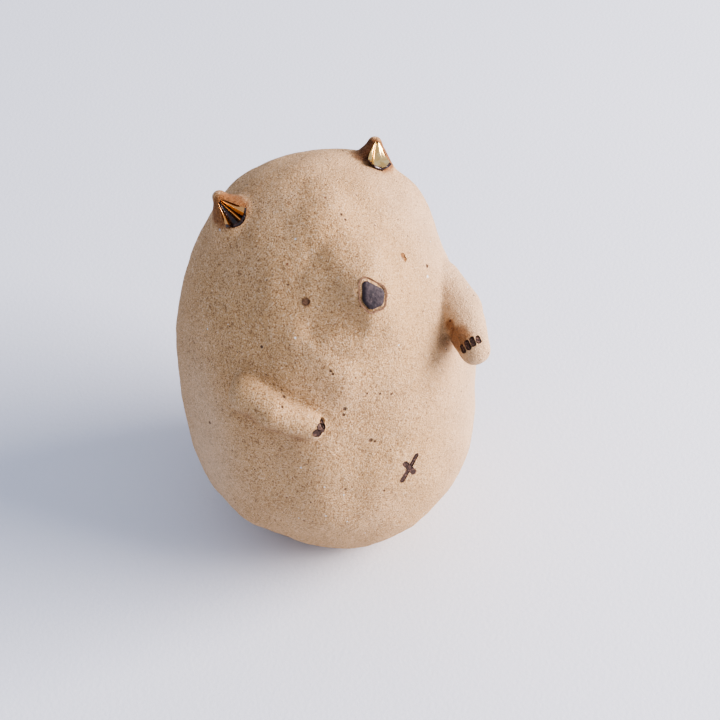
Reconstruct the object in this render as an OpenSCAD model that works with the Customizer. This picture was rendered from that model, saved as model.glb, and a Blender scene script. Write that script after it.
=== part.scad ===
// Hand-built stoneware bear with a legless egg body, made of two pinched pots.
// Millimetres. The origin is the middle of the flat foot, +Z is up and the face looks along -Y.
// The bear's right hand is at -X. Most pieces are placed on the body, which leans back.

/* [Body] */
// Width of the body at its widest place
body_w = 60; // [50:1:72]
// Height of the egg form along its own axis, before the foot is flattened
body_h = 88; // [76:1:106]
// Height of the widest place above the rounded bottom
belly_z = 35; // [30:1:40]
// Fullness of the dome above the belly, where 2 is an ellipse
dome_fullness = 2.5; // [2:0.1:3]
// Angle that the body leans back, in degrees
lean = 7; // [0:1:9]
// Thickness of the pinched clay wall
wall = 5.5; // [4:0.5:7]
// Depth of rounded bottom that is pressed flat to make the foot
foot_cut = 4; // [3:0.5:5.5]
// Diameter of the vent hole through the foot
vent_d = 4; // [3:0.5:5]
// Distance of the vent hole behind the middle of the foot
vent_back = 7; // [6:0.5:8]

/* [Seam] */
// Height of the join between the two pots
seam_z = 46.5; // [44:0.5:47]
// Width of the coil pressed into the join, at the skin
coil_w = 4.4; // [3:0.2:5]
// Depth of the coil below the skin
coil_depth = 2.4; // [1.6:0.2:3]

/* [Face] */
// Height of the snout's middle on the body
snout_z = 74; // [71:0.5:76]
// Angle of the snout round from the middle of the body
snout_turn = -2.4; // [-6:0.2:6]
// How far the snout stands out of the skin
snout_h = 4; // [3.4:0.2:5]
// Width of the snout at the skin
snout_w = 18; // [15:0.5:19]
// Width of the snout's flat tip
snout_tip_w = 9.6; // [9.2:0.2:10.4]
// Size of the nose pad, across its outline
nose_size = 5.8; // [5:0.1:6.2]
// Depth that the nose pad is let into the snout
nose_seat = 1; // [0.6:0.1:1.4]
// Height that the nose pad stands out of the snout
nose_proud = 0.5; // [0.3:0.1:0.8]
// Bare clay left between the nose pad and the scratched ring
ring_gap = 0.6; // [0.4:0.1:0.7]
// Width of the scratched ring
ring_w = 0.5; // [0.3:0.1:0.6]
// Depth of the scratched ring
ring_depth = 0.4; // [0.3:0.1:0.6]
// Height of the right eye on the body
right_eye_z = 74.5; // [73:0.5:78]
// Height of the left eye on the body
left_eye_z = 76; // [73:0.5:78]
// Angle of the right eye round from the middle of the body
right_eye_turn = 30; // [29:1:36]
// Angle of the left eye round from the middle of the body
left_eye_turn = 26; // [25:1:34]
// Diameter of the needle holes that are the eyes
eye_d = 0.9; // [0.7:0.1:1.4]
// Depth of the needle holes
eye_depth = 1.4; // [1:0.1:2]
// Thickness of the stain at the bottom of each eye hole
eye_stain = 0.8; // [0.4:0.1:0.9]

/* [Ears] */
// Height of the ears on the body
ear_z = 82.4; // [80:0.2:84]
// Angle of each ear round from the middle of the face
ear_turn = 101; // [94:1:108]
// Height of the ear above the skin
ear_h = 5.6; // [5:0.1:6.6]
// Width of the ear where it flares into the head
ear_w = 9.6; // [8:0.2:11]
// Radius of the ear's rounded tip
ear_tip_r = 1.1; // [0.9:0.1:1.4]
// Radius of the fingertip hollow at the front of the ear
hollow_r = 4.4; // [4:0.1:5]
// Thickness of the glaze in the hollow
glaze_t = 0.5; // [0.4:0.1:0.7]
// Thickness of the gold lustre, drawn thicker than the real film
gold_t = 0.2; // [0.15:0.05:0.3]

/* [Arms] */
// Radius of the arms at the shoulder
shoulder_r = 4.6; // [4:0.1:5.4]
// Radius of the arms at the elbow
elbow_r = 3.6; // [3:0.1:4.2]
// Radius of the right paw
right_paw_r = 2.3; // [2:0.1:2.8]
// Radius of the left paw
left_paw_r = 2.9; // [2.4:0.1:3.3]
// Diameter of each claw notch
claw_d = 0.9; // [0.7:0.1:1]
// Depth of the claw notches
claw_depth = 0.7; // [0.5:0.1:1]

/* [Belly cross] */
// Height of the cross on the body
cross_z = 36.7; // [30:0.5:38]
// Angle of the cross round from the middle of the belly
cross_turn = 2.8; // [-10:0.2:10]
// Length of the long stroke
stroke_long = 6.8; // [5:0.2:8]
// Length of the short stroke
stroke_short = 5.6; // [3:0.2:7]
// Width of the strokes
stroke_w = 0.8; // [0.6:0.1:1.2]
// Depth of the strokes
stroke_depth = 0.7; // [0.6:0.1:1]
// Thickness of the stain at the bottom of the strokes
stroke_stain = 0.3; // [0.2:0.1:0.4]

/* [Hidden] */
$fn = 96;

clay = [0.84, 0.71, 0.58];
clay_coil = [0.78, 0.64, 0.51];
slate = [0.33, 0.31, 0.34];
stain = [0.28, 0.17, 0.14];
glaze_brown = [0.20, 0.10, 0.06];
gold = [0.85, 0.66, 0.30];

// The egg form: half an ellipsoid below the belly, and a fuller dome above it
body_r = body_w / 2;
profile_steps = 22;
past = 1;

// Radius of an egg at height z, from its radius r and the heights of its bottom, belly and top
function egg_r(z, r, bottom, belly, top) =
    z < belly
        ? r * sqrt(1 - pow((belly - z) / (belly - bottom), 2))
        : r * sqrt(1 - pow((z - belly) / (top - belly), dome_fullness));
function egg_outline(r, bottom, belly, top) = concat(
    [for (i = [0 : profile_steps])
        let (a = 90 * i / profile_steps)
        [r * sin(a), belly - (belly - bottom) * cos(a)]],
    [for (i = [1 : profile_steps])
        let (a = 90 * i / profile_steps)
        [i == profile_steps ? 0 : r * cos(a), belly + (top - belly) * pow(sin(a), 2 / dome_fullness)]]
);

// Where the body touches down, worked out from the tilted lower ellipsoid
drop = sqrt(pow(body_r * sin(lean), 2) + pow(belly_z * cos(lean), 2));
touch_y = (body_r * body_r - belly_z * belly_z) * sin(lean) * cos(lean) / drop;
belly_up = drop - foot_cut;
foot_y = touch_y * belly_up / drop;

// The hollow inside
cavity_r = body_r - wall;
cavity_bottom = foot_cut + wall;
cavity_top = body_h - wall;

// A point on the skin, and the slope of the skin there, as the angle of its normal above level
function skin_r(z) = egg_r(z, body_r, 0, belly_z, body_h);
slope_step = 0.01;
function skin_tilt(z) = atan2(skin_r(z - slope_step) - skin_r(z + slope_step), 2 * slope_step);
function skin(z, turn, out = 0) =
    let (r = skin_r(z) + out * cos(skin_tilt(z)))
    [r * sin(turn), -r * cos(turn), z + out * sin(skin_tilt(z))];

// The arms, each as points and radii from shoulder to paw
right_arm_path = [skin(57, -57, -0.6), skin(55.6, -43.5, 0.8), skin(53.6, -28.8, 1.2)];
left_arm_path = [skin(63.5, 50, -0.5), skin(61.3, 40, 3.2), skin(58.2, 28.7, 6.7)];
right_arm_radii = [shoulder_r, elbow_r, right_paw_r];
left_arm_radii = [shoulder_r, elbow_r, left_paw_r];
right_claw_count = 3;
left_claw_count = 4;
right_claw_swing = 42;
left_claw_swing = 34;
right_claw_roll = 20;
left_claw_roll = 8;
// How far over the paw's tip the claws sit, where 0 is the very tip
right_claw_rise = 20;
left_claw_rise = 46;

// The nose pad's corners, as a share of its size, going round it
nose_corners = [[-0.16, 0.30], [0.27, -0.02], [0.16, -0.20], [-0.17, -0.22], [-0.28, -0.05]];
nose_corner_r = 0.18;

// The strokes of the cross, turned from level
long_angle = 54;
short_angle = -61;

ear_rise = 22;
ear_back = 12;
ear_seat = 3;
hollow_front = 5.2;
hollow_up = 2.6;
glaze_inset = 0.5;
gold_inset = 0.9;
ear_steps = 10;
ear_flare = 1.3;
skirt_slope = 0.5;

// Put pieces that are drawn round the egg's own axis on the foot
module on_foot() {
    translate([0, -foot_y, belly_up])
        rotate([-lean, 0, 0])
            translate([0, 0, -belly_z])
                children();
}

// Put a piece on the skin, with its own +Z along the skin's normal and its own +Y up the body
module on_skin(z, turn, out = 0) {
    translate(skin(z, turn, out))
        rotate([0, 0, turn])
            rotate([90 - skin_tilt(z), 0, 0])
                children();
}

module egg_form() {
    rotate_extrude()
        polygon(egg_outline(body_r, 0, belly_z, body_h));
}

module cavity_form() {
    rotate_extrude()
        polygon(egg_outline(cavity_r, cavity_bottom, belly_z, cavity_top));
}

// The V cut round the join, which the coil fills
module seam_groove() {
    skin_edge = skin_r(seam_z);
    reach = skin_edge + past;
    half = coil_w / 2 * (coil_depth + past) / coil_depth;
    rotate_extrude()
        polygon([[skin_edge - coil_depth, seam_z], [reach, seam_z - half], [reach, seam_z + half]]);
}

module below_floor() {
    translate([0, 0, -body_h])
        cylinder(h = body_h, r = body_w);
}

// A roll with a round end at both places
module rounded_cone(from, to, r_from, r_to) {
    along = to - from;
    length = norm(along);
    // Angle at which the straight side leaves both balls
    side = asin((r_from - r_to) / length);
    steps = 8;
    outline = concat(
        [for (i = [0 : steps])
            let (a = -90 + (90 + side) * i / steps)
            [i == 0 ? 0 : r_from * cos(a), r_from * sin(a)]],
        [for (i = [0 : steps])
            let (a = side + (90 - side) * i / steps)
            [i == steps ? 0 : r_to * cos(a), length + r_to * sin(a)]]
    );
    translate(from)
        rotate([0, acos(along[2] / length), atan2(along[1], along[0])])
            rotate_extrude($fn = 48)
                polygon(outline);
}

module arm_form(path, radii) {
    for (i = [0 : len(path) - 2]) {
        rounded_cone(path[i], path[i + 1], radii[i], radii[i + 1]);
    }
}

// Small pegs standing on the paw's round end, fanned across it
module claw_pegs(path, radii, count, swing, roll, rise) {
    last = len(path) - 1;
    along = path[last] - path[last - 1];
    heading = atan2(along[1], along[0]);
    dip = acos(along[2] / norm(along));
    for (i = [0 : count - 1]) {
        fan = swing * (i - (count - 1) / 2);
        translate(path[last])
            rotate([0, dip, heading])
                rotate([0, 0, roll])
                    rotate([fan, -rise, 0])
                        translate([0, 0, radii[last] - claw_depth])
                            cylinder(h = claw_depth + past, d = claw_d, $fn = 24);
    }
}

module right_claw_pegs() {
    claw_pegs(right_arm_path, right_arm_radii, right_claw_count,
        right_claw_swing, right_claw_roll, right_claw_rise);
}

module left_claw_pegs() {
    claw_pegs(left_arm_path, left_arm_radii, left_claw_count,
        left_claw_swing, left_claw_roll, left_claw_rise);
}

// The nose outline, grown outwards by a set distance, with a round arc at each corner
function edge_angle(from, to) = atan2(to[1] - from[1], to[0] - from[0]) + 90;
function turn_to(from, to) = to - 360 * round((to - from) / 360);
function nose_outline(grow) =
    let (n = len(nose_corners), steps = 6)
    [for (i = [0 : n - 1])
        let (
            before = nose_corners[(i + n - 1) % n],
            here = nose_corners[i],
            after = nose_corners[(i + 1) % n],
            first = edge_angle(before, here),
            last = turn_to(first, edge_angle(here, after)),
            r = nose_corner_r * nose_size + grow
        )
        for (k = [0 : steps])
            let (a = first + (last - first) * k / steps)
            [here[0] * nose_size + r * cos(a), here[1] * nose_size + r * sin(a)]];

module nose_block(grow, from, to) {
    translate([0, 0, from])
        linear_extrude(height = to - from)
            polygon(nose_outline(grow));
}

module on_snout() {
    on_skin(snout_z, snout_turn, snout_h)
        children();
}

module nose_seat_form() {
    on_snout()
        nose_block(0, -nose_seat, past);
}

module nose_ring_form() {
    on_snout()
        difference() {
            nose_block(ring_gap + ring_w, -ring_depth, 0);
            nose_block(ring_gap, -ring_depth - past, past);
        }
}

// The snout: a flat tip that flows down to the curved skin in a half wave
module snout_form() {
    steps = 12;
    tip_r = snout_tip_w / 2;
    foot_r = snout_w / 2;
    rim = 0.4;
    rim_z = rim - foot_r * foot_r / body_w;
    sunk = 4;
    outline = concat(
        [[0, -sunk], [foot_r, -sunk]],
        [for (i = [0 : steps])
            let (share = i / steps)
            [
                foot_r + (tip_r - foot_r) * share,
                rim_z + (snout_h - rim_z) * (1 - cos(180 * share)) / 2
            ]],
        [[0, snout_h]]
    );
    on_skin(snout_z, snout_turn)
        rotate_extrude()
            polygon(outline);
}

module right_eye_hole(depth) {
    on_skin(right_eye_z, -right_eye_turn, -eye_depth)
        cylinder(h = depth, d = eye_d, $fn = 24);
}

module left_eye_hole(depth) {
    on_skin(left_eye_z, left_eye_turn, -eye_depth)
        cylinder(h = depth, d = eye_d, $fn = 24);
}

// A round-ended stroke along the skin, filled up from its bottom to a set depth
module stroke_form(length, angle, depth) {
    on_skin(cross_z, cross_turn, -stroke_depth)
        rotate([0, 0, angle]) {
            translate([-length / 2 + stroke_w / 2, -stroke_w / 2, 0])
                cube([length - stroke_w, stroke_w, depth]);
            for (end = [-1, 1]) {
                translate([end * (length - stroke_w) / 2, 0, 0])
                    cylinder(h = depth, d = stroke_w, $fn = 24);
            }
        }
}

module cross_form(depth) {
    stroke_form(stroke_long, long_angle, depth);
    stroke_form(stroke_short, short_angle, depth);
}

// Put a piece on the head at the left ear, with its own +Z along the ear and its own -Y to the front
module at_ear() {
    translate(skin(ear_z, ear_turn))
        rotate([-ear_back, ear_rise, 0])
            children();
}

module other_side() {
    mirror([1, 0, 0])
        children();
}

// The outside of an ear: a round tip on a cone that flares into the head
module ear_form(inset) {
    tip_r = ear_tip_r - inset / 2;
    foot_r = ear_w / 2 - inset;
    skirt_r = foot_r + ear_seat * skirt_slope;
    neck_z = ear_h - inset - tip_r;
    outline = concat(
        [[0, -ear_seat], [skirt_r, -ear_seat]],
        [for (i = [0 : ear_steps])
            let (share = i / ear_steps)
            [tip_r + (foot_r - tip_r) * pow(1 - share, ear_flare), neck_z * share]],
        [for (i = [1 : ear_steps])
            let (a = 90 * i / ear_steps)
            [i == ear_steps ? 0 : tip_r * cos(a), neck_z + tip_r * sin(a)]]
    );
    rotate_extrude($fn = 64)
        polygon(outline);
}

module hollow_ball(r) {
    translate([0, -hollow_front, hollow_up])
        sphere(r = r, $fn = 64);
}

module ear() {
    difference() {
        at_ear()
            difference() {
                ear_form(0);
                hollow_ball(hollow_r);
            }
        egg_form();
    }
}

// A skin of finish in the hollow, between two balls with the same middle
module ear_coat(inset, outer_r, thickness) {
    difference() {
        at_ear()
            difference() {
                intersection() {
                    ear_form(inset);
                    hollow_ball(outer_r);
                }
                hollow_ball(outer_r - thickness);
            }
        egg_form();
    }
}

module ear_glaze() {
    ear_coat(glaze_inset, hollow_r, glaze_t);
}

module ear_gold() {
    ear_coat(gold_inset, hollow_r - glaze_t, gold_t);
}

module lower_pot() {
    color(clay)
        difference() {
            on_foot()
                difference() {
                    egg_form();
                    cavity_form();
                    seam_groove();
                    cross_form(stroke_depth + past);
                    translate([0, 0, seam_z])
                        cylinder(h = body_h, r = body_w);
                }
            below_floor();
            translate([0, vent_back, -past])
                cylinder(h = belly_z, d = vent_d);
        }
}

module upper_pot() {
    color(clay)
        on_foot()
            difference() {
                egg_form();
                cavity_form();
                seam_groove();
                right_eye_hole(eye_depth + past);
                left_eye_hole(eye_depth + past);
                translate([0, 0, seam_z - body_h])
                    cylinder(h = body_h, r = body_w);
            }
}

module seam_coil() {
    color(clay_coil)
        on_foot()
            intersection() {
                egg_form();
                seam_groove();
            }
}

module snout() {
    color(clay)
        on_foot()
            difference() {
                snout_form();
                egg_form();
                nose_seat_form();
                nose_ring_form();
            }
}

module nose_pad() {
    color(slate)
        on_foot()
            on_snout()
                nose_block(0, -nose_seat, nose_proud);
}

module nose_ring_stain() {
    color(stain)
        on_foot()
            nose_ring_form();
}

module right_arm() {
    color(clay)
        on_foot()
            difference() {
                arm_form(right_arm_path, right_arm_radii);
                egg_form();
                right_claw_pegs();
            }
}

module left_arm() {
    color(clay)
        on_foot()
            difference() {
                arm_form(left_arm_path, left_arm_radii);
                egg_form();
                left_claw_pegs();
            }
}

module right_claws() {
    color(stain)
        on_foot()
            intersection() {
                arm_form(right_arm_path, right_arm_radii);
                right_claw_pegs();
            }
}

module left_claws() {
    color(stain)
        on_foot()
            intersection() {
                arm_form(left_arm_path, left_arm_radii);
                left_claw_pegs();
            }
}

module right_eye() {
    color(stain)
        on_foot()
            right_eye_hole(eye_stain);
}

module left_eye() {
    color(stain)
        on_foot()
            left_eye_hole(eye_stain);
}

module belly_cross() {
    color(stain)
        on_foot()
            cross_form(stroke_stain);
}

module right_ear() {
    color(clay)
        on_foot()
            other_side()
                ear();
}

module left_ear() {
    color(clay)
        on_foot()
            ear();
}

module right_ear_glaze() {
    color(glaze_brown)
        on_foot()
            other_side()
                ear_glaze();
}

module left_ear_glaze() {
    color(glaze_brown)
        on_foot()
            ear_glaze();
}

module right_ear_gold() {
    color(gold)
        on_foot()
            other_side()
                ear_gold();
}

module left_ear_gold() {
    color(gold)
        on_foot()
            ear_gold();
}

lower_pot();
upper_pot();
seam_coil();
snout();
nose_pad();
nose_ring_stain();
right_ear();
left_ear();
right_ear_glaze();
left_ear_glaze();
right_ear_gold();
left_ear_gold();
right_arm();
left_arm();
right_claws();
left_claws();
right_eye();
left_eye();
belly_cross();
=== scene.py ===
"""A small round bear of unglazed stoneware, built up as a hand builder makes it: body, face, arms, ears, finish."""

import math

import bpy
from mathutils import Matrix, Vector


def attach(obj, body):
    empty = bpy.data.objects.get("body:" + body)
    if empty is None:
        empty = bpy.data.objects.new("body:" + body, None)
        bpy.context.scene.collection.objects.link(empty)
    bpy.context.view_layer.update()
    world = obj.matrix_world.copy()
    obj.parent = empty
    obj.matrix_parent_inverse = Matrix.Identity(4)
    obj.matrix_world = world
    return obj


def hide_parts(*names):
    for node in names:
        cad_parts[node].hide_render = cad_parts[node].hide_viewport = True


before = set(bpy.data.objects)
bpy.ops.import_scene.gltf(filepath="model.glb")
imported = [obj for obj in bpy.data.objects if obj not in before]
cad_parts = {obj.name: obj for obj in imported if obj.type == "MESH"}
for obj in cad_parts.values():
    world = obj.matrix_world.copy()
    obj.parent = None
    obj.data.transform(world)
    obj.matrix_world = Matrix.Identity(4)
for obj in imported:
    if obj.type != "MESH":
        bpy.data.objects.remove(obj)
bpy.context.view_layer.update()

# The table top and the window.
# A pale matte sheet that the bear stands on, lit by one large soft window at its left hand,
# with the bright room filling in the shade. The camera looks down on the bear's right cheek.
MM = 0.001


class Wire:
    """One output of a shader node, which can be added, taken away, multiplied and divided."""

    def __init__(self, finish, socket):
        self.finish = finish
        self.socket = socket

    def sum(self, operation, first, second):
        return self.finish.node("Math", {"operation": operation}, {0: first, 1: second})

    def __add__(self, other):
        return self.sum("ADD", self, other)

    __radd__ = __add__

    def __sub__(self, other):
        return self.sum("SUBTRACT", self, other)

    def __rsub__(self, other):
        return self.sum("SUBTRACT", other, self)

    def __mul__(self, other):
        return self.sum("MULTIPLY", self, other)

    __rmul__ = __mul__

    def __truediv__(self, other):
        return self.sum("DIVIDE", self, other)

    def __pow__(self, other):
        return self.sum("POWER", self, other)


class Finish:
    """A material under way, with the one method that makes and joins its nodes."""

    def __init__(self, name):
        self.material = bpy.data.materials.new(name)
        self.material.use_nodes = True
        self.tree = self.material.node_tree
        self.tree.nodes.clear()
        self.place = self.node("TexCoord", output="Object")

    def node(self, kind, settings=None, sockets=None, output=0):
        made = self.tree.nodes.new("ShaderNode" + kind)
        for name, value in (settings or {}).items():
            if name == "stops":
                ramp = made.color_ramp.elements
                while len(ramp) < len(value):
                    ramp.new(0.5)
                for stop, (spot, colour) in zip(ramp, value):
                    stop.position = spot
                    stop.color = (*colour, 1.0)
            else:
                setattr(made, name, value)
        for name, value in (sockets or {}).items():
            if isinstance(value, Wire):
                self.tree.links.new(value.socket, made.inputs[name])
            elif made.inputs[name].type == "RGBA" and len(value) == 3:
                made.inputs[name].default_value = (*value, 1.0)
            else:
                made.inputs[name].default_value = value
        return Wire(self, made.outputs[output]) if len(made.outputs) else made

    def noise(self, size, detail=2.0, roughness=0.5, place=None):
        sockets = {"Vector": place or self.place, "Scale": 1 / size, "Detail": detail, "Roughness": roughness}
        return self.node("TexNoise", {}, sockets)

    def band(self, value, low, high):
        """0 below low, 1 above high, and smooth between them; low may be the larger"""
        sockets = {"Value": value, "From Min": low, "From Max": high}
        return self.node("MapRange", {"interpolation_type": "SMOOTHSTEP"}, sockets)

    def blend(self, mask, first, second, way="MIX"):
        settings = {"data_type": "RGBA", "blend_type": way, "clamp_factor": True}
        return self.node("Mix", settings, {0: mask, 6: first, 7: second}, output=2)

    def near(self, spot, reach, edge):
        """1 within reach of a spot and 0 past its edge"""
        sockets = {0: self.place, 1: spot}
        gap = self.node("VectorMath", {"operation": "DISTANCE"}, sockets, output="Value")
        return self.band(gap, reach + edge, reach)

    def done(self, **sockets):
        shader = self.node("BsdfPrincipled", {}, {name.replace("_", " "): value for name, value in sockets.items()})
        out = self.tree.nodes.new("ShaderNodeOutputMaterial")
        self.tree.links.new(shader.socket, out.inputs["Surface"])
        return self.material


def pick(piece):
    """Make a piece the only one selected, and the one that operators act on"""
    if bpy.context.object and bpy.context.object.mode == "EDIT":
        bpy.ops.object.mode_set(mode="OBJECT")
    bpy.ops.object.select_all(action="DESELECT")
    piece.select_set(True)
    bpy.context.view_layer.objects.active = piece


def name_piece(name):
    piece = bpy.context.object
    piece.name = name
    piece.data.name = name
    return piece


bpy.ops.object.select_all(action="DESELECT")
table_w = 3.0
bpy.ops.mesh.primitive_grid_add(x_subdivisions=8, y_subdivisions=8, size=table_w)
table_top = name_piece("table_top")
paper = Finish("pale_paper")
paper_tooth = paper.noise(0.9 * MM, 3.0)
paper_tone = paper.blend(paper.noise(60 * MM, 1.0), (0.74, 0.755, 0.79), (0.77, 0.782, 0.81))
paper_bump = paper.node("Bump", {}, {"Height": paper_tooth, "Distance": 0.12 * MM, "Strength": 0.5})
table_top.data.materials.append(paper.done(Base_Color=paper_tone, Roughness=0.8, Normal=paper_bump))

window_data = bpy.data.lights.new("window", "AREA")
window_data.shape = "RECTANGLE"
window_data.size = 0.7
window_data.size_y = 0.7
window_data.energy = 19.8
window_data.color = (1.0, 0.924, 0.934)
window = bpy.data.objects.new("window", window_data)
bpy.context.scene.collection.objects.link(window)
window_spot = Vector((0.75, -0.45, 0.48))
window.matrix_world = Matrix.Translation(window_spot) @ window_spot.to_track_quat("Z", "Y").to_matrix().to_4x4()

room = bpy.data.worlds.new("room")
room.use_nodes = True
room.node_tree.nodes["Background"].inputs["Color"].default_value = (0.754, 0.812, 1.0, 1.0)
room.node_tree.nodes["Background"].inputs["Strength"].default_value = 0.69
bpy.context.scene.world = room
bpy.context.scene.view_settings.view_transform = "AgX"
bpy.context.scene.view_settings.look = "AgX - High Contrast"

camera_data = bpy.data.cameras.new("camera")
camera_data.sensor_width = 36
camera_data.lens = 75
camera_data.clip_start = 0.01
camera = bpy.data.objects.new("camera", camera_data)
bpy.context.scene.collection.objects.link(camera)
camera_turn = math.radians(-27.3)
camera_dip = math.radians(90 - 45.8)
camera_roll = -0.023
camera.matrix_world = (
    Matrix.Translation((-90.78 * MM, -187.91 * MM, 255.08 * MM))
    @ Matrix.Rotation(camera_turn, 4, "Z")
    @ Matrix.Rotation(camera_dip, 4, "X")
    @ Matrix.Rotation(camera_roll, 4, "Z")
)
bpy.context.scene.camera = camera

# The body, as the maker's blank.
# Two pinched pots of buff stoneware, rim to rim, as one egg that leans back a little on its foot.
# It is turned up here as one closed skin, and parted into its pots and coil at the end.
lean = math.radians(7)
body_r = 30 * MM
belly_z = 35 * MM
body_h = 88 * MM
fullness = 2.5
foot_y = -0.997 * MM
belly_up = 30.93 * MM
stand = (
    Matrix.Translation((0, -foot_y, belly_up))
    @ Matrix.Rotation(-lean, 4, "X")
    @ Matrix.Translation((0, 0, -belly_z))
)


def skin_r(z):
    if z < belly_z:
        return body_r * math.sqrt(max(0.0, 1 - ((belly_z - z) / belly_z) ** 2))
    return body_r * math.sqrt(max(0.0, 1 - ((z - belly_z) / (body_h - belly_z)) ** fullness))


def skin(z, turn, out=0.0):
    """The place and facing of the egg's skin: own +Z outwards, own +Y up the body; z and out in mm"""
    step = 0.01
    z = z * MM
    tilt = math.atan2(skin_r(z - step * MM) - skin_r(z + step * MM), 2 * step * MM)
    turn = math.radians(turn)
    spot = Vector((skin_r(z) * math.sin(turn), -skin_r(z) * math.cos(turn), z))
    facing = Matrix.Rotation(turn, 4, "Z") @ Matrix.Rotation(math.pi / 2 - tilt, 4, "X")
    return stand @ Matrix.Translation(spot) @ facing @ Matrix.Translation((0, 0, out * MM))


def trace(name, points, closed=False):
    """A line of edges through some points, drawn by extruding one point on and on"""
    bpy.ops.object.select_all(action="DESELECT")
    bpy.ops.mesh.primitive_plane_add(size=MM)
    bpy.ops.object.mode_set(mode="EDIT")
    bpy.ops.mesh.select_all(action="SELECT")
    bpy.ops.mesh.merge(type="CENTER")
    here = Vector((0, 0, 0))
    bpy.ops.transform.translate(value=Vector(points[0]) - here)
    here = Vector(points[0])
    for point in points[1:]:
        bpy.ops.mesh.extrude_region_move(TRANSFORM_OT_translate={"value": Vector(point) - here})
        here = Vector(point)
    if closed:
        bpy.ops.mesh.select_all(action="SELECT")
        bpy.ops.mesh.edge_face_add()
        bpy.ops.mesh.delete(type="ONLY_FACE")
    bpy.ops.object.mode_set(mode="OBJECT")
    return name_piece(name)


def throw(name, outline, steps, closed=False):
    """A form turned round the egg's own axis from half its outline, then stood on the foot"""
    piece = trace(name, [(r, 0, z) for r, z in outline], closed)
    bpy.ops.object.mode_set(mode="EDIT")
    bpy.ops.mesh.select_all(action="SELECT")
    bpy.ops.mesh.spin(steps=steps, angle=2 * math.pi, center=(0, 0, 0), axis=(0, 0, 1))
    bpy.ops.mesh.select_all(action="SELECT")
    bpy.ops.mesh.remove_doubles(threshold=0.001 * MM)
    bpy.ops.mesh.normals_make_consistent(inside=False)
    bpy.ops.object.mode_set(mode="OBJECT")
    piece.matrix_world = stand
    bpy.ops.object.transform_apply(location=True, rotation=True, scale=True)
    return piece


def egg_outline(r, bottom, belly, top, below, above):
    low = [(r * math.sin(a), belly - (belly - bottom) * math.cos(a))
           for a in (math.pi / 2 * i / below for i in range(below + 1))]
    high = [(r * math.cos(a), belly + (top - belly) * math.sin(a) ** (2 / fullness))
            for a in (math.pi / 2 * i / above for i in range(1, above + 1))]
    return low + high


figure = throw("figure", egg_outline(body_r, 0, belly_z, body_h, 70, 110), 240)

# The pressing.
# The skin is never a true egg: thumbs and a rib have flattened the cheeks and belly and left low
# ridges between them. Each press moves the clay along its own facing, fading out with distance.


def press(piece, line, depth, reach, fade="SMOOTH", width=0.6):
    """Push the clay in along a line of (height, turn) by a depth in mm, or pull it out if that is negative"""
    steps = 14
    spots = []
    for (z_a, turn_a), (z_b, turn_b) in zip(line, line[1:] or line):
        for i in range(steps + 1):
            share = i / steps
            spots.append(skin(z_a + (z_b - z_a) * share, turn_a + (turn_b - turn_a) * share).translation)
    pick(piece)
    bpy.ops.object.mode_set(mode="EDIT")
    bpy.ops.mesh.select_mode(type="VERT")
    bpy.ops.mesh.select_all(action="DESELECT")
    bpy.ops.object.mode_set(mode="OBJECT")
    for vertex in piece.data.vertices:
        vertex.select = min((vertex.co - spot).length_squared for spot in spots) < (width * MM) ** 2
    bpy.ops.object.mode_set(mode="EDIT")
    bpy.ops.transform.shrink_fatten(
        value=-depth * MM,
        use_proportional_edit=True,
        proportional_edit_falloff=fade,
        proportional_size=reach * MM,
    )
    bpy.ops.object.mode_set(mode="OBJECT")


# Cheeks, flanks and crown, which set the outline
press(figure, [(58, 70), (62, 74)], 1.3, 15)
press(figure, [(34, 55)], 0.8, 14)
press(figure, [(77, 92), (79, 98)], -1.8, 12)
press(figure, [(83, 124)], -0.8, 9)
press(figure, [(11, -55), (12, -45)], 0.9, 15)
press(figure, [(80, -150)], -0.5, 10)
# Brow, cheeks, breast and belly, which catch the light
press(figure, [(84, -16)], -0.7, 7)
press(figure, [(86, 17), (82.5, 2)], 0.5, 6)
press(figure, [(85.5, 0), (79, -1), (75, -3)], -1.2, 6.5, "LINEAR")
press(figure, [(74.6, -22), (72.2, -18)], 0.8, 4.5)
press(figure, [(71, -44), (67, -36), (64, -32)], -0.6, 7)
press(figure, [(70.4, -27), (69.6, -20), (69.2, -12)], 1.1, 3.6)
press(figure, [(66, -36), (61, -32), (56, -28)], 0.2, 5.5)
press(figure, [(67.2, -20), (64, -19), (60, -18)], -0.75, 5.5)
press(figure, [(66, -4), (65, 6)], -0.5, 6)
press(figure, [(53, -10), (46, -11)], 0.6, 8)
press(figure, [(46, -20), (36, -18), (28, -19)], 0.2, 4.5)
press(figure, [(48, -33), (38, -30), (28, -31)], -0.5, 7)
press(figure, [(73, -62), (62, -60)], 0.6, 14)
press(figure, [(76, 24)], 0.3, 5)

# The snout.
# A pad of clay drawn out of the face by the thumbs, broad at the back and flat at its tip,
# so it has no edge of its own until the nose is let in.
snout_z = 74
snout_turn = -2.4
snout_h = 3.8


def pull_tip(piece, z, turn, out, tip, reach, fade):
    """Draw a flat round tip straight out of the skin"""
    seat = skin(z, turn)
    pick(piece)
    bpy.ops.object.mode_set(mode="EDIT")
    bpy.ops.mesh.select_mode(type="VERT")
    bpy.ops.mesh.select_all(action="DESELECT")
    bpy.ops.object.mode_set(mode="OBJECT")
    for vertex in piece.data.vertices:
        vertex.select = (vertex.co - seat.translation).length < tip * MM
    bpy.ops.object.mode_set(mode="EDIT")
    bpy.ops.transform.translate(
        value=seat.to_3x3() @ Vector((0, 0, out * MM)),
        use_proportional_edit=True,
        proportional_edit_falloff=fade,
        proportional_size=reach * MM,
    )
    bpy.ops.object.mode_set(mode="OBJECT")


pull_tip(figure, snout_z, snout_turn, snout_h, 3.6, 8.5, "LINEAR")

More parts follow.
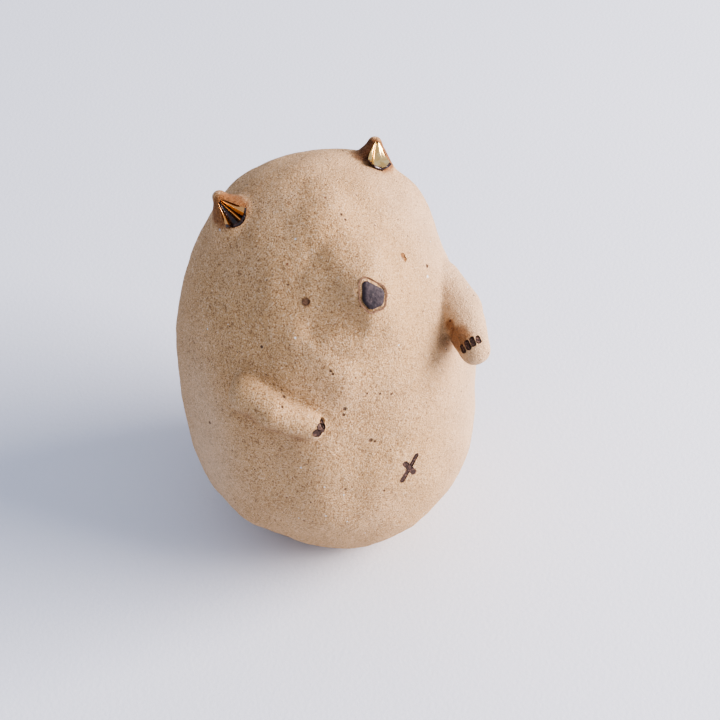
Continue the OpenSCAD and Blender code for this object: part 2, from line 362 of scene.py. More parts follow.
# The arms.
# Two tapered rolls of clay, luted on at the shoulder and bent forwards over the belly: the right
# one lies along the body, and the left one stands clear of it and ends in a blunt round paw.
right_arm_bends = [(57.0, -55, 0.2, 3.9), (55.0, -44, 1.3, 3.3), (52.3, -31, 1.5, 2.3)]
left_arm_bends = [(66.0, 50, -3.4, 4.8), (61.8, 39.5, 1.6, 4.1), (58.0, 28.2, 6.6, 3.0)]


def roll_arm(name, bends):
    """A roll as a run of overlapping balls, which the joining makes one"""
    (z_a, turn_a, out_a, r_a), (z_b, turn_b, out_b, r_b), (z_c, turn_c, out_c, r_c) = bends
    start = skin(z_a, turn_a, out_a).translation
    elbow = skin(z_b, turn_b, out_b).translation
    paw = skin(z_c, turn_c, out_c).translation
    steps = 16
    bpy.ops.object.select_all(action="DESELECT")
    balls = []
    for i in range(steps + 1):
        share = 2 * i / steps
        if share <= 1:
            spot = start.lerp(elbow, share)
            r = r_a + (r_b - r_a) * share
        else:
            spot = elbow.lerp(paw, share - 1)
            r = r_b + (r_c - r_b) * (share - 1)
        bpy.ops.mesh.primitive_uv_sphere_add(segments=40, ring_count=24, radius=r * MM, location=spot)
        balls.append(bpy.context.object)
    for ball in balls:
        ball.select_set(True)
    bpy.ops.object.join()
    bpy.ops.object.transform_apply(location=True, rotation=True, scale=True)
    return name_piece(name), start, elbow, paw


right_roll, right_shoulder, right_elbow, right_paw = roll_arm("right_roll", right_arm_bends)
left_roll, left_shoulder, left_elbow, left_paw = roll_arm("left_roll", left_arm_bends)

# The ears.
# Two little cones pinched up on the crown, flared where the clay is smoothed into the head,
# leaning out and back. Their hollows are pressed in later, from the front.
ear_z = 82.4
ear_turn = 101
ear_h = 5.6
ear_foot_r = 4.8
ear_tip_r = 1.5
ear_rise = math.radians(22)
ear_back = math.radians(12)
ear_seat = 3.0


def at_ear(side):
    """The ear's own frame: +Z along the ear, -Y to the front; side is 1 for the left ear, -1 for the right"""
    z = ear_z * MM
    spot = Vector((side * skin_r(z) * math.sin(math.radians(ear_turn)), -skin_r(z) * math.cos(math.radians(ear_turn)), z))
    turn = Matrix.Rotation(side * ear_rise, 4, "Y") @ Matrix.Rotation(-ear_back, 4, "X")
    return stand @ Matrix.Translation(spot) @ turn


def pinch_ear(name, side):
    outline = [(0, -ear_seat), (ear_foot_r + 1.6, -ear_seat)]
    neck = ear_h - ear_tip_r
    for i in range(13):
        share = i / 12
        outline.append((ear_tip_r + (ear_foot_r - ear_tip_r) * (1 - share) ** 1.05, neck * share))
    for i in range(1, 9):
        a = math.pi / 2 * i / 8
        outline.append((ear_tip_r * math.cos(a), neck + ear_tip_r * math.sin(a)))
    piece = trace(name, [(r * MM, 0, z * MM) for r, z in outline])
    bpy.ops.object.mode_set(mode="EDIT")
    bpy.ops.mesh.select_all(action="SELECT")
    bpy.ops.mesh.spin(steps=64, angle=2 * math.pi, center=(0, 0, 0), axis=(0, 0, 1))
    bpy.ops.mesh.select_all(action="SELECT")
    bpy.ops.mesh.remove_doubles(threshold=0.001 * MM)
    bpy.ops.mesh.normals_make_consistent(inside=False)
    bpy.ops.object.mode_set(mode="OBJECT")
    piece.matrix_world = at_ear(side)
    bpy.ops.object.transform_apply(location=True, rotation=True, scale=True)
    return piece


right_cone = pinch_ear("right_cone", -1)
left_cone = pinch_ear("left_cone", 1)

# The joining.
# Slip and a wet thumb make the rolls and cones one skin with the body, with a soft fillet all
# round each of them, and leave the whole surface faintly uneven.
clay_step = 0.4
for piece in (right_roll, left_roll, right_cone, left_cone, figure):
    piece.select_set(True)
bpy.context.view_layer.objects.active = figure
bpy.ops.object.join()


def finish_with(piece, kind, **settings):
    """Apply one modifier to a piece"""
    pick(piece)
    change = piece.modifiers.new(kind.lower(), kind)
    for name, value in settings.items():
        setattr(change, name, value)
    bpy.ops.object.modifier_apply(modifier=change.name)


finish_with(figure, "REMESH", mode="VOXEL", voxel_size=clay_step * MM, use_smooth_shade=True)
finish_with(figure, "SMOOTH", factor=0.5, iterations=10)


def uneven(piece, name, size, height):
    """Move the skin in and out by a soft random pattern"""
    clouds = bpy.data.textures.new(name, "CLOUDS")
    clouds.noise_scale = size * MM
    clouds.noise_depth = 1
    finish_with(piece, "DISPLACE", texture=clouds, texture_coords="LOCAL", strength=height * MM, mid_level=0.5)


uneven(figure, "palm_marks", 11, 0.9)
uneven(figure, "thumb_marks", 4.5, 0.35)
uneven(figure, "drag_marks", 1.6, 0.10)


def seat_at(z, turn):
    """Where the worked skin really is: a frame on it with own +Z outwards and own +Y up the body"""
    aim = skin(z, turn, 12)
    out = aim.to_3x3() @ Vector((0, 0, 1))
    hit, spot, facing, face = figure.ray_cast(aim.translation, -out)
    return Matrix.Translation(spot) @ aim.to_3x3().to_4x4()


def cut(piece, tool, way="DIFFERENCE"):
    """Take a tool's form out of a piece, or keep only what lies in it"""
    finish_with(piece, "BOOLEAN", operation=way, object=tool, solver="MANIFOLD")


def twin(piece, name):
    pick(piece)
    bpy.ops.object.duplicate()
    return name_piece(name)


def lose(*pieces):
    for piece in pieces:
        bpy.data.objects.remove(piece)


def block(name, low, high):
    """A plain block between two corners, used as a knife"""
    low = Vector(low)
    high = Vector(high)
    bpy.ops.object.select_all(action="DESELECT")
    bpy.ops.mesh.primitive_cube_add(size=1, location=(low + high) / 2, scale=high - low)
    bpy.ops.object.transform_apply(location=True, rotation=True, scale=True)
    return name_piece(name)


under = block("under", (-0.1, -0.1, -0.1), (0.1, 0.1, 0))
cut(figure, under)
lose(under)

nose_seat = seat_at(snout_z, snout_turn)
cross_seat = seat_at(36.7, 2.8)
right_eye_seat = seat_at(74.5, -30)
left_eye_seat = seat_at(76, 26)

# The clay.
# Buff stoneware with fine grog, fired unglazed: a dry grain all over, a few dark iron specks and white grog grains,
# and a toasted blush round the ears and on the left paw. Painted light lies over the clay colour: the grain is painted
# stronger on the shaded right side, both flanks are painted paler, and painted shade darkens the underside of the right
# arm, the body by the left arm and paw, the back of the left ear and each pinhole.
clay = Finish("buff_stoneware")
across = clay.node("SeparateXYZ", {}, {0: clay.place}, output="X")
# The grain's contrast is raised on the bear's shaded right side and lowered on its lit left side: painted shade in the
# grain.
painted_shade_grain = clay.band(across, 12 * MM, -12 * MM) * 0.50 + 0.80
grain = clay.noise(0.26 * MM, 2.0, 0.6)
grit = clay.noise(0.75 * MM, 2.0, 0.55)
mottle = clay.noise(7 * MM, 3.0, 0.5)
drift = clay.noise(20 * MM, 2.0, 0.5)
buff = clay.blend(clay.band(mottle, 0.35, 0.65), (0.570, 0.350, 0.170), (0.640, 0.405, 0.208))
buff = clay.blend(clay.band(drift, 0.3, 0.7) * 0.5, buff, (0.58, 0.355, 0.160))
buff = clay.blend(clay.band(grain, 0.47, 0.34) * painted_shade_grain * 0.62, buff, (0.225, 0.112, 0.045))
buff = clay.blend(clay.band(grain, 0.53, 0.66) * painted_shade_grain * 0.50, buff, (0.86, 0.66, 0.45))
buff = clay.blend(clay.band(grit, 0.42, 0.30) * painted_shade_grain * 0.42, buff, (0.22, 0.115, 0.048))
buff = clay.blend(clay.band(grit, 0.58, 0.70) * painted_shade_grain * 0.26, buff, (0.80, 0.60, 0.40))


def specks(finish, cell, small, large, share):
    """Round specks scattered at most one to a cell, each of its own random size: their mask"""
    settings = {"feature": "F1"}
    sockets = {"Vector": finish.place, "Scale": 1 / (cell * MM)}
    gap = finish.node("TexVoronoi", settings, sockets, output="Distance")
    tint = finish.node("TexVoronoi", settings, sockets, output="Color")
    luck = finish.node("SeparateColor", {}, {"Color": tint}, output="Red")
    size = finish.node("SeparateColor", {}, {"Color": tint}, output="Green")
    edge = size * ((large - small) / cell) + small / cell
    return finish.band(edge - gap, 0.0, 0.25 * small / cell) * finish.band(luck, 1 - share, 1 - share + 0.01)


# Both flanks are painted paler towards the front: a painted highlight on the lit left flank and a painted rim of light
# along the right flank's edge.
front = clay.band(clay.node("SeparateXYZ", {}, {0: clay.place}, output="Y"), 14 * MM, -6 * MM)
painted_flank_highlight = clay.band(across, 4 * MM, 27 * MM) * 0.42 + clay.band(across, -25 * MM, -31 * MM) * 0.40
buff = clay.blend(painted_flank_highlight * front, buff, (0.80, 0.615, 0.450))


dark_specks = specks(clay, 1.5, 0.06, 0.19, 0.6)
iron_specks = specks(clay, 5.0, 0.14, 0.36, 0.35)
white_specks = specks(clay, 3.6, 0.10, 0.28, 0.5)
buff = clay.blend(dark_specks * 0.8, buff, (0.10, 0.06, 0.045))
buff = clay.blend(iron_specks * 0.75, buff, (0.22, 0.085, 0.04))
buff = clay.blend(white_specks * 0.9, buff, (0.85, 0.82, 0.80))

toast = (0.42, 0.25, 0.13)
# A darker toast colour, which is also used below as painted shade.
toast_and_painted_shade = (0.33, 0.24, 0.17)
toast_rag = (clay.noise(1.2 * MM, 3.0, 0.6) - 0.5) * 1.6
for side in (-1, 1):
    ear_root = at_ear(side) @ Vector((0, -1.6 * MM, 1.8 * MM))
    halo = clay.near(ear_root, 2.2 * MM, 3.4 * MM)
    buff = clay.blend(clay.band(halo + toast_rag * 0.6, 0.15, 1.0) * 0.9, buff, toast, "MULTIPLY")
# The left ear's side away from the window is darkened: partly toast, partly painted shade.
ear_back_spot = at_ear(1) @ Vector((-2.2 * MM, -0.4 * MM, 2.6 * MM))
halo = clay.near(ear_back_spot, 1.6 * MM, 2.6 * MM)
buff = clay.blend(clay.band(halo + toast_rag * 0.5, 0.15, 0.9) * 0.75, buff, toast_and_painted_shade, "MULTIPLY")
inner_paw = left_elbow.lerp(left_paw, 0.80) + Vector((-2.2 * MM, 0.6 * MM, 1.4 * MM))
halo = clay.near(inner_paw, 1.5 * MM, 2.4 * MM)
buff = clay.blend(clay.band(halo + toast_rag * 0.5, 0.20, 1.1) * 0.8, buff, toast, "MULTIPLY")
# The crease between the left arm and the body is darkened in toast colour: partly toast, partly painted shade.
crease = left_elbow.lerp(left_paw, 0.35) + Vector((-3.9 * MM, -0.2 * MM, 1.6 * MM))
halo = clay.near(crease, 0.7 * MM, 1.8 * MM)
buff = clay.blend(clay.band(halo + toast_rag * 0.7, 0.35, 1.1) * 0.8, buff, toast, "MULTIPLY")
# Painted shadow on the body below and inside the left paw.
painted_paw_shadow = left_paw - (left_paw - left_elbow).normalized() * 5.0 * MM + Vector((-3.4, -0.2, -2.2)) * MM
halo = clay.near(painted_paw_shadow, 0.6 * MM, 3.4 * MM)
buff = clay.blend(clay.band(halo + toast_rag * 0.5, 0.1, 1.2) * 0.7, buff, toast_and_painted_shade, "MULTIPLY")
for spot, reach, depth in (
    (right_eye_seat.translation, 0.45, 0.75),
    (left_eye_seat.translation, 0.35, 0.6),
):
    halo = clay.near(spot, reach * MM, (reach + 0.5) * MM)
    buff = clay.blend(clay.band(halo + toast_rag * 0.5, 0.3, 1.0) * depth, buff, (0.15, 0.065, 0.03))
# Painted shade along the lower side of the right arm.
painted_arm_shade = (0.62, 0.52, 0.45)
for z, turn, out in ((53.4, -52, 2.6), (51.4, -44, 3.2), (50.0, -36, 3.2)):
    halo = clay.near(skin(z, turn, out).translation, 1.2 * MM, 2.6 * MM)
    buff = clay.blend(halo * 0.85, buff, painted_arm_shade, "MULTIPLY")
pinholes = [(46.2, -10.8, 0.34), (45.7, -9.3, 0.2), (84.4, 1.2, 0.2), (83.8, 2.4, 0.18), (72.2, 36.2, 0.26),
            (56.7, -9.9, 0.16), (55.9, -5.0, 0.18), (55.1, -0.8, 0.16), (54.6, -19.0, 0.3), (53.4, -19.6, 0.22),
            (62.9, -22.5, 0.2), (62.3, -21.8, 0.2), (57.8, -40.8, 0.22), (57.1, -40.2, 0.2), (45.5, -76.3, 0.25),
            (36.0, -22.0, 0.2), (33.5, -8.0, 0.18), (66.5, -50.0, 0.22)]
# Each pinhole darkens the clay as well as denting its bump: painted shade inside the hole.
pits = 0.0
for z, turn, reach in pinholes:
    seat = seat_at(z, turn)
    pits = pits + clay.near(seat.translation, reach * 0.6 * MM, reach * MM)
buff = clay.blend(clay.band(pits, 0.0, 1.0) * 0.8, buff, (0.10, 0.045, 0.024))

tooth = grain * 0.5 + grit * 0.5 + clay.noise(0.16 * MM, 1.0, 0.5) * 0.25
tooth = tooth - dark_specks * 0.7 - iron_specks * 0.3 + white_specks * 0.3 - pits * 0.8
clay_bump = clay.node("Bump", {}, {"Height": tooth, "Distance": 0.60 * MM, "Strength": 1.0})
clay_finish = clay.done(Base_Color=buff, Roughness=0.93, Sheen_Weight=0.12, Sheen_Roughness=0.5, Sheen_Tint=(1.0, 0.80, 0.62, 1.0), Normal=clay_bump)


def fire(piece, name, node, finish):
    """Finish one piece: its name, material, shading, body and the CAD node it stands for"""
    pick(piece)
    name_piece(name)
    piece.data.materials.clear()
    piece.data.materials.append(finish)
    bpy.ops.object.shade_smooth_by_angle(angle=math.radians(50))
    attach(piece, "root")
    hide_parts(node)


# The parts of the skin.
# Each limb is parted from the body along the edge of the clay that was smoothed over its join,
# and the body along the coil that seals the two pots, so the parts meet with no gap.


def tool_ball(name, spots, r):
    """A run of balls made one, as the form that a limb fits in"""
    bpy.ops.object.select_all(action="DESELECT")
    balls = []
    for spot in spots:
        bpy.ops.mesh.primitive_uv_sphere_add(segments=48, ring_count=32, radius=r * MM, location=spot)
        balls.append(bpy.context.object)
    for ball in balls:
        ball.select_set(True)
    bpy.ops.object.join()
    bpy.ops.object.transform_apply(location=True, rotation=True, scale=True)
    tool = name_piece(name)
    finish_with(tool, "REMESH", mode="VOXEL", voxel_size=0.7 * MM)
    finish_with(tool, "SMOOTH", factor=0.5, iterations=8)
    return tool


def part_off(tool, name, node):
    """Part a limb from the body with a tool"""
    limb = twin(figure, name)
    cut(limb, tool, "INTERSECT")
    cut(figure, tool)
    lose(tool)
    return limb


def run(first, last, count):
    return [first.lerp(last, i / (count - 1)) for i in range(count)]


right_arm = part_off(
    tool_ball("right_arm_tool", run(right_shoulder, right_elbow, 6) + run(right_elbow, right_paw, 6), 5.9),
    "right_arm_clay", "right_arm")
left_arm = part_off(
    tool_ball("left_arm_tool", run(left_shoulder, left_elbow, 6) + run(left_elbow, left_paw, 6), 5.9),
    "left_arm_clay", "left_arm")
snout_middle = (nose_seat @ Vector((0, 0, -1.5 * MM)))
snout = part_off(tool_ball("snout_tool", [snout_middle], 8.2), "snout_clay", "snout")
ears = {}
for side, side_name in ((-1, "right"), (1, "left")):
    ear_middle = at_ear(side) @ Vector((0, 0, 1.2 * MM))
    ear_top = at_ear(side) @ Vector((0, 0, 3.4 * MM))
    ears[side] = part_off(tool_ball(side_name + "_ear_tool", [ear_middle, ear_top], 6.4), side_name + "_ear_clay", "")

seam_z = 46.5
coil_half = 4.4 / 2 * (2.4 + 3) / 2.4
edge_r = skin_r(seam_z * MM)
coil_outline = [
    (edge_r - 2.4 * MM, seam_z * MM),
    (edge_r + 3 * MM, (seam_z - coil_half) * MM),
    (edge_r + 3 * MM, (seam_z + coil_half) * MM),
]
coil_tool = throw("coil_tool", coil_outline, 180, closed=True)
seam_coil = part_off(coil_tool, "seam_coil_clay", "seam_coil")
wall = 5.5 * MM
hollow = throw("hollow", egg_outline(body_r - wall, 4 * MM + wall, belly_z, body_h - wall, 24, 30), 96)
cut(figure, hollow)
lose(hollow)
above = block("above", (-0.1, -0.1, 0), (0.1, 0.1, 0.2))
above.matrix_world = stand @ Matrix.Translation((0, 0, seam_z * MM))
pick(above)
bpy.ops.object.transform_apply(location=True, rotation=True, scale=True)
upper_pot = twin(figure, "upper_pot_clay")
cut(upper_pot, above, "INTERSECT")
lower_pot = figure
cut(lower_pot, above)
lose(above)
bpy.ops.object.select_all(action="DESELECT")
bpy.ops.mesh.primitive_cylinder_add(vertices=48, radius=2 * MM, depth=40 * MM, location=(0, 7 * MM, 15 * MM))
bpy.ops.object.transform_apply(location=True, rotation=True, scale=True)
vent = name_piece("vent")
cut(lower_pot, vent)
lose(vent)

# The gouges.
# Eyes, cross and claws are all pricked or dragged with the same blunt needle into the soft clay,
# then filled with a watery stain that dries below the edge.


def needle(name, seat, long, wide, deep, angle=0.0, sink=0.0):
    """The form the needle leaves: a blunt furrow along its own X, turned by an angle, in mm"""
    bpy.ops.object.select_all(action="DESELECT")
    bpy.ops.mesh.primitive_uv_sphere_add(segments=40, ring_count=24, radius=0.5 * MM)
    bpy.ops.transform.resize(value=(wide, wide, 2 * deep))
    bpy.ops.object.transform_apply(location=True, rotation=True, scale=True)
    tool = name_piece(name)
    for vertex in tool.data.vertices:
        if abs(vertex.co.x) > 0.001 * MM:
            vertex.co.x += math.copysign((long - wide) / 2 * MM, vertex.co.x)
    clouds = bpy.data.textures.new(name + "_rag", "CLOUDS")
    clouds.noise_scale = 0.5 * MM
    tool.location = seat.translation
    finish_with(tool, "DISPLACE", texture=clouds, texture_coords="GLOBAL", strength=0.22 * MM, mid_level=0.5)
    tool.location = (0, 0, 0)
    tool.matrix_world = seat @ Matrix.Rotation(math.radians(angle), 4, "Z") @ Matrix.Translation((0, 0, -sink * MM))
    bpy.ops.object.transform_apply(location=True, rotation=True, scale=True)
    return tool


def fill_up(tool, name, seat, level):
    """The stain left in a furrow, up to a level below the skin"""
    piece = twin(tool, name)
    top = seat @ Vector((0, 0, -level * MM))
    bpy.ops.object.mode_set(mode="EDIT")
    bpy.ops.mesh.select_all(action="SELECT")
    up = seat.to_3x3() @ Vector((0, 0, 1))
    bpy.ops.mesh.bisect(plane_co=top, plane_no=up, use_fill=True, clear_outer=True)
    bpy.ops.object.mode_set(mode="OBJECT")
    return piece


def weld(name, pieces):
    bpy.ops.object.mode_set(mode="OBJECT") if bpy.context.object.mode == "EDIT" else None
    bpy.ops.object.select_all(action="DESELECT")
    for piece in pieces:
        piece.select_set(True)
    bpy.context.view_layer.objects.active = pieces[0]
    if len(pieces) > 1:
        bpy.ops.object.join()
    return name_piece(name)


stain = Finish("iron_stain")
stain_tone = stain.blend(stain.band(stain.noise(0.35 * MM, 2.0), 0.35, 0.7), (0.16, 0.085, 0.048), (0.30, 0.175, 0.10))
stain_bump = stain.node("Bump", {}, {"Height": stain.noise(0.25 * MM), "Distance": 0.08 * MM, "Strength": 1.0})
iron_stain = stain.done(Base_Color=stain_tone, Roughness=0.85, Normal=stain_bump)

stain = Finish("manganese_stain")
stain_tone = stain.blend(stain.band(stain.noise(0.45 * MM, 2.0), 0.45, 0.7), (0.055, 0.028, 0.020), (0.19, 0.105, 0.075))
stain_bump = stain.node("Bump", {}, {"Height": stain.noise(0.25 * MM), "Distance": 0.10 * MM, "Strength": 1.0})
manganese_stain = stain.done(Base_Color=stain_tone, Roughness=0.72, Normal=stain_bump)

wash = Finish("thin_iron_stain")
wash_tone = wash.blend(wash.band(wash.noise(0.35 * MM, 2.0), 0.35, 0.7), (0.26, 0.12, 0.045), (0.42, 0.23, 0.10))
wash_bump = wash.node("Bump", {}, {"Height": wash.noise(0.25 * MM), "Distance": 0.08 * MM, "Strength": 1.0})
thin_iron_stain = wash.done(Base_Color=wash_tone, Roughness=0.88, Normal=wash_bump)

for side_name, seat, pricks, finish in (
    ("right", right_eye_seat, [(0, 0, 1.35, 1.1)], iron_stain),
    ("left", left_eye_seat, [(0.05, 0.42, 0.95, 0.8), (-0.05, -0.45, 1.0, 0.75)], thin_iron_stain),
):
    eyes = []
    for across, up, long, wide in pricks:
        spot = seat @ Matrix.Translation((across * MM, up * MM, 0))
        prick = needle(side_name + "_prick", spot, long, wide, 0.40, 20)
        eyes.append(fill_up(prick, side_name + "_eye_stain", spot, 0.06))
        cut(upper_pot, prick)
        lose(prick)
    eye = weld(side_name + "_eye_stain", eyes)
    fire(eye, side_name + "_eye_stain", side_name + "_eye", finish)

strokes = []
for angle, long in ((54, 6.9), (-61, 4.9)):
    stroke = needle("stroke", cross_seat, long, 1.15, 0.7, angle)
    strokes.append(fill_up(stroke, "stroke_stain", cross_seat, 0.14))
    cut(lower_pot, stroke)
    lose(stroke)
cross = weld("belly_cross_stain", strokes)
fire(cross, "belly_cross_stain", "belly_cross", manganese_stain)

# The nose.
# A flat chip of slate-coloured clay let into the tip of the snout, with a fine groove cut round
# it and washed with iron, and a narrow rim of bare clay between the two.
nose_size = 5.3
nose_narrow = 0.86
nose_tall = 1.10
nose_corners = [(-0.16, 0.30), (0.27, -0.02), (0.16, -0.20), (-0.17, -0.22), (-0.28, -0.05)]
nose_corner_r = 0.18


def nose_outline(grow):
    """The chip's outline grown by a distance in mm, with a round arc at each corner"""
    points = []
    count = len(nose_corners)
    for i in range(count):
        here = Vector(nose_corners[i])
        before = here - Vector(nose_corners[i - 1])
        after = Vector(nose_corners[(i + 1) % count]) - here
        first = math.atan2(before.y, before.x) + math.pi / 2
        last = math.atan2(after.y, after.x) + math.pi / 2
        while last - first > math.pi:
            last -= 2 * math.pi
        while last - first < -math.pi:
            last += 2 * math.pi
        r = nose_corner_r * nose_size + grow
        for k in range(9):
            a = first + (last - first) * k / 8
            across = (here.x * nose_size + r * math.cos(a)) * nose_narrow
            along = (here.y * nose_size + r * math.sin(a)) * nose_tall
            points.append((across * MM, along * MM, 0))
    return points


def nose_block(name, grow, low, high, round_off=0.0):
    piece = trace(name, nose_outline(grow), closed=True)
    bpy.ops.object.mode_set(mode="EDIT")
    bpy.ops.mesh.select_all(action="SELECT")
    bpy.ops.mesh.remove_doubles(threshold=0.001 * MM)
    bpy.ops.mesh.edge_face_add()
    bpy.ops.transform.translate(value=(0, 0, low * MM))
    bpy.ops.mesh.extrude_region_move(TRANSFORM_OT_translate={"value": (0, 0, (high - low) * MM)})
    if round_off:
        bpy.ops.mesh.inset(thickness=round_off * MM, depth=round_off * 0.7 * MM)
        bpy.ops.mesh.inset(thickness=round_off * MM, depth=round_off * 0.25 * MM)
    bpy.ops.mesh.select_all(action="SELECT")
    bpy.ops.mesh.normals_make_consistent(inside=False)
    bpy.ops.object.mode_set(mode="OBJECT")
    piece.matrix_world = nose_seat
    bpy.ops.object.transform_apply(location=True, rotation=True, scale=True)
    return piece


socket = nose_block("nose_socket", 0, -1.0, 2.0)
cut(snout, socket)
lose(socket)
outer = nose_block("groove_outer", 0.74, -0.35, 2.0)
inner = nose_block("groove_inner", 0.40, -2.0, 3.0)
cut(outer, inner)
ring = twin(outer, "ring")
cut(snout, outer)
lose(outer)
lid = nose_block("lid", 3.0, -0.14, 3.0)
cut(ring, lid)
lose(lid, inner)
nose_chip = nose_block("nose_chip", 0, -1.0, 0.12, 0.3)

slate = Finish("slate_clay")
slate_mottle = slate.band(slate.noise(0.9 * MM, 3.0, 0.6), 0.35, 0.7)
slate_tone = slate.blend(slate_mottle, (0.032, 0.024, 0.028), (0.085, 0.062, 0.062))
slate_flecks = specks(slate, 0.6, 0.04, 0.10, 0.4)
slate_tone = slate.blend(slate_flecks * 0.6, slate_tone, (0.20, 0.15, 0.12))
slate_bump = slate.node("Bump", {}, {"Height": slate.noise(0.4 * MM, 3.0), "Distance": 0.10 * MM, "Strength": 1.0})
slate_clay = slate.done(Base_Color=slate_tone, Roughness=0.62, Specular_IOR_Level=0.35, Normal=slate_bump)
fire(nose_chip, "nose_chip", "nose_pad", slate_clay)
fire(ring, "nose_ring_wash", "nose_ring_stain", iron_stain)

# The claws.
# Short furrows pressed over the end of each paw and filled with dark stain: three that run
# together on the right paw, and four in a row on the left.
right_along = (right_paw - right_elbow).normalized()
left_along = (left_paw - left_elbow).normalized()


def claw_row(limb, name, paw, along, up, r, rows):
    """Cut and fill a row of claws, each given as where it lies round the paw and its size"""
    made = []
    side = along.cross(up).normalized()
    up = side.cross(along).normalized()
    for ahead, across, rise, long, wide in rows:
        out = (along * ahead - side * across + up * rise).normalized()
        hit, spot, facing, face = limb.ray_cast(paw + out * 9 * MM, -out)
        over = (along - out * along.dot(out)).normalized()
        seat = Matrix.Translation(spot) @ Matrix((over, out.cross(over), out)).transposed().to_4x4()
        furrow = needle(name + "_furrow", seat, long, wide, 0.5)
        made.append(fill_up(furrow, name + "_fill", seat, 0.05))
        cut(limb, furrow)
        lose(furrow)
    return weld(name, made)


body_up = stand.to_3x3() @ Vector((0, 0, 1))
right_claws = claw_row(right_arm, "right_claw_stain", right_paw, right_along, body_up, 2.3,
                       [(1.3, -1.7, 1.0, 1.8, 1.5), (1.5, -0.6, 1.5, 2.0, 1.5),
                        (1.65, 0.5, 1.6, 2.0, 1.5), (1.75, 1.5, 1.6, 1.8, 1.4)])
left_claws = claw_row(left_arm, "left_claw_stain", left_paw, left_along, body_up, 2.9,
                      [(0.1, -2.5, 1.5, 1.9, 0.95), (0.1, -1.5, 2.3, 2.1, 1.0),
                       (-0.1, -0.5, 2.7, 2.1, 1.0), (-0.3, 0.6, 2.75, 1.8, 0.95)])
fire(right_claws, "right_claw_stain", "right_claws", manganese_stain)
fire(left_claws, "left_claw_stain", "left_claws", manganese_stain)

# The ear hollows.
# A pointed tool pressed up into the front of each ear leaves three folds that meet at its tip.
# Dark brown glaze lines the hollow and pools at its foot, and gold lustre is fired over the folds.
hollow_turn = {-1: math.radians(-3), 1: math.radians(-12)}
hollow_slant = {-1: math.radians(9), 1: math.radians(0)}
hollow_rise = {-1: 0.0, 1: 0.7}
folds = {-1: [(0.84, 0.19), (-0.12, 0.17), (-0.74, 0.27)], 1: [(-0.78, 0.34), (0.32, 0.52)]}
fold_across = 72
fold_down = 44


def in_hollow(side):
    """The hollow's own frame on one ear"""
    middle = Vector((0, -2.9 * MM, (2.1 + hollow_rise[side]) * MM))
    slant = Matrix.Rotation(hollow_slant[side], 4, Vector((0, -0.76, 0.65)))
    slant = Matrix.Translation(middle) @ slant @ Matrix.Translation(-middle)
    lifted = Matrix.Translation((0, 0, hollow_rise[side] * MM))
    return at_ear(side) @ Matrix.Rotation(hollow_turn[side], 4, "Z") @ slant @ lifted


def fold_rise(side, across):
    """How far the clay stands up in the folds, 0 in a valley and 1 on a ridge"""
    return max(math.exp(-((across - middle) / half) ** 2) for middle, half in folds[side])


def fold_spot(side, across, down, lift):
    """A spot on the folds, across -1 to 1 and down 0 to 1 from the tip, lifted off them, in mm"""
    half = 0.35 + 2.15 * down ** 0.8
    dish = 1.45 * math.sin(math.pi * min(1.0, 0.18 + down * 0.66)) - 0.35 * across * across
    rise = lift - dish + (fold_rise(side, across) - 0.4) * (0.30 + 0.80 * down)
    reach = down * (1.12 - 0.30 * across * across)
    y = -1.25 - 3.35 * reach
    z = 4.15 - 4.05 * reach
    return (across * half, y - 0.76 * rise, z + 0.65 * rise)


def fold_sheet(name, lift, side, keep=None):
    """The folded sheet on one ear, whole or only where keep says so"""
    bpy.ops.object.select_all(action="DESELECT")
    bpy.ops.mesh.primitive_grid_add(x_subdivisions=fold_across, y_subdivisions=fold_down, size=2)
    piece = name_piece(name)
    dropped = []
    for face in piece.data.polygons:
        across = face.center.x
        down = (1 - face.center.y) / 2
        dropped.append(bool(keep) and not keep(side, across, down))
    for vertex in piece.data.vertices:
        spot = fold_spot(side, vertex.co.x, (1 - vertex.co.y) / 2, lift)
        vertex.co = Vector((side * spot[0], spot[1], spot[2])) * MM
    for face, gone in zip(piece.data.polygons, dropped):
        face.select = gone
    bpy.ops.object.mode_set(mode="EDIT")
    bpy.ops.mesh.select_mode(type="FACE")
    if keep:
        bpy.ops.object.mode_set(mode="OBJECT")
        for face, gone in zip(piece.data.polygons, dropped):
            face.select = gone
        bpy.ops.object.mode_set(mode="EDIT")
        bpy.ops.mesh.delete(type="FACE")
    bpy.ops.object.mode_set(mode="OBJECT")
    piece.matrix_world = in_hollow(side)
    bpy.ops.object.transform_apply(location=True, rotation=True, scale=True)
    return piece


def thicken(piece, outwards, amount):
    """Turn a sheet into a closed slab by extruding it one way"""
    pick(piece)
    bpy.ops.object.mode_set(mode="EDIT")
    bpy.ops.mesh.select_all(action="SELECT")
    bpy.ops.mesh.extrude_region_move(TRANSFORM_OT_translate={"value": outwards * amount * MM})
    bpy.ops.mesh.select_all(action="SELECT")
    bpy.ops.mesh.normals_make_consistent(inside=False)
    bpy.ops.object.mode_set(mode="OBJECT")


glaze = Finish("brown_glaze")
glaze_tone = glaze.blend(glaze.band(glaze.noise(0.8 * MM, 2.0), 0.4, 0.7), (0.022, 0.010, 0.009), (0.095, 0.040, 0.028))
glaze_bump = glaze.node("Bump", {}, {"Height": glaze.noise(0.5 * MM), "Distance": 0.12 * MM, "Strength": 1.0})
brown_glaze = glaze.done(Base_Color=glaze_tone, Roughness=0.12, Coat_Weight=0.6, Coat_Roughness=0.05, Normal=glaze_bump)

lustre = Finish("gold_lustre")
lustre_tone = lustre.blend(lustre.band(lustre.noise(1.1 * MM, 2.0), 0.4, 0.7), (0.83, 0.55, 0.22), (0.95, 0.74, 0.38))
lustre_bump = lustre.node("Bump", {}, {"Height": lustre.noise(0.45 * MM), "Distance": 0.02 * MM, "Strength": 1.0})
shaded = lustre.near(at_ear(-1).translation, 9 * MM, 3 * MM)
lustre_tone = lustre.blend(shaded, lustre_tone, (0.74, 0.42, 0.18))
gold_lustre = lustre.done(Base_Color=lustre_tone, Metallic=1.0, Roughness=0.22, Normal=lustre_bump)


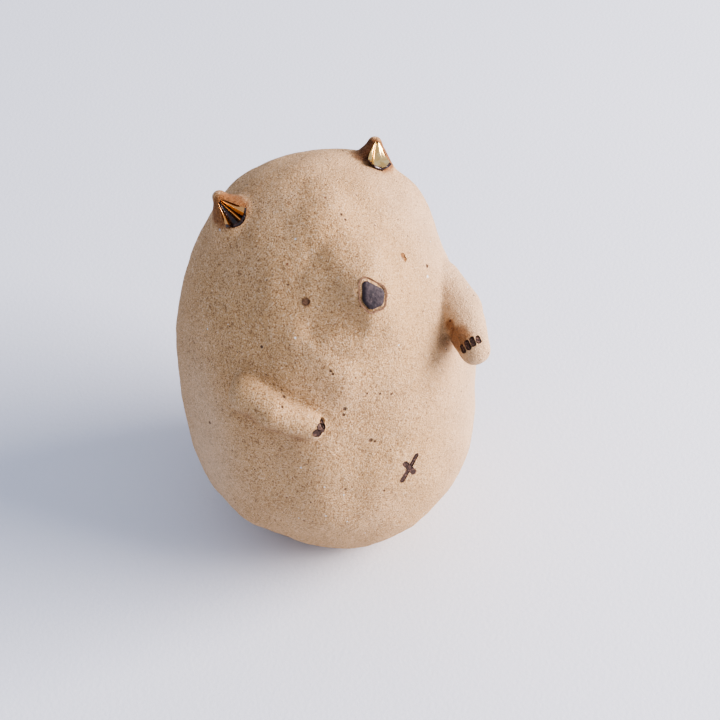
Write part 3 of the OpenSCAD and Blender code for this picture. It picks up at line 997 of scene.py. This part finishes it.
def on_ridge(side, across, down):
    ragged = 0.08 * math.sin(7 * down + 5 * across)
    bare = 0.30 if side < 0 else -0.2
    return fold_rise(side, across) + ragged > bare and 0.03 < down < 0.90 + 0.5 * ragged


def skin_pool(name, side):
    """The bead of glaze that has run down and set at the foot of the hollow"""
    bpy.ops.object.select_all(action="DESELECT")
    bpy.ops.mesh.primitive_uv_sphere_add(segments=48, ring_count=24, radius=MM)
    bpy.ops.transform.resize(value=(1.5, 0.42, 0.45))
    bpy.ops.object.transform_apply(location=True, rotation=True, scale=True)
    pool = name_piece(name)
    for vertex in pool.data.vertices:
        vertex.co.z += 0.30 * vertex.co.x ** 2 / MM
    x, y, z = fold_spot(side, 0.0, 0.93, 0.1)
    pool.matrix_world = in_hollow(side) @ Matrix.Translation(Vector((x, y, z)) * MM)
    bpy.ops.object.transform_apply(location=True, rotation=True, scale=True)
    uneven(pool, name + "_runs", 0.7, 0.3)
    return pool


for side, side_name in ((-1, "right"), (1, "left")):
    outwards = in_hollow(side).to_3x3() @ Vector((0, -0.76, 0.65))
    punch = fold_sheet(side_name + "_punch", 0.0, side)
    thicken(punch, outwards, 4.0)
    cut(ears[side], punch)
    lose(punch)
    lining = fold_sheet(side_name + "_lining", 0.0, side)
    thicken(lining, outwards, 0.30)
    pool = skin_pool(side_name + "_pool", side)
    lining = weld(side_name + "_lining", [lining, pool])
    fire(lining, side_name + "_glaze_lining", side_name + "_ear_glaze", brown_glaze)
    leaf = fold_sheet(side_name + "_leaf", 0.29, side, on_ridge)
    thicken(leaf, outwards, 0.08)
    fire(leaf, side_name + "_gold_leaf", side_name + "_ear_gold", gold_lustre)

# The firing.
# Every part of the skin gets the same clay finish, which reads one pattern right across the joins.
for piece, name, node in (
    (lower_pot, "lower_pot_clay", "lower_pot"),
    (upper_pot, "upper_pot_clay", "upper_pot"),
    (seam_coil, "seam_coil_clay", "seam_coil"),
    (snout, "snout_clay", "snout"),
    (right_arm, "right_arm_clay", "right_arm"),
    (left_arm, "left_arm_clay", "left_arm"),
    (ears[-1], "right_ear_clay", "right_ear"),
    (ears[1], "left_ear_clay", "left_ear"),
):
    fire(piece, name, node, clay_finish)
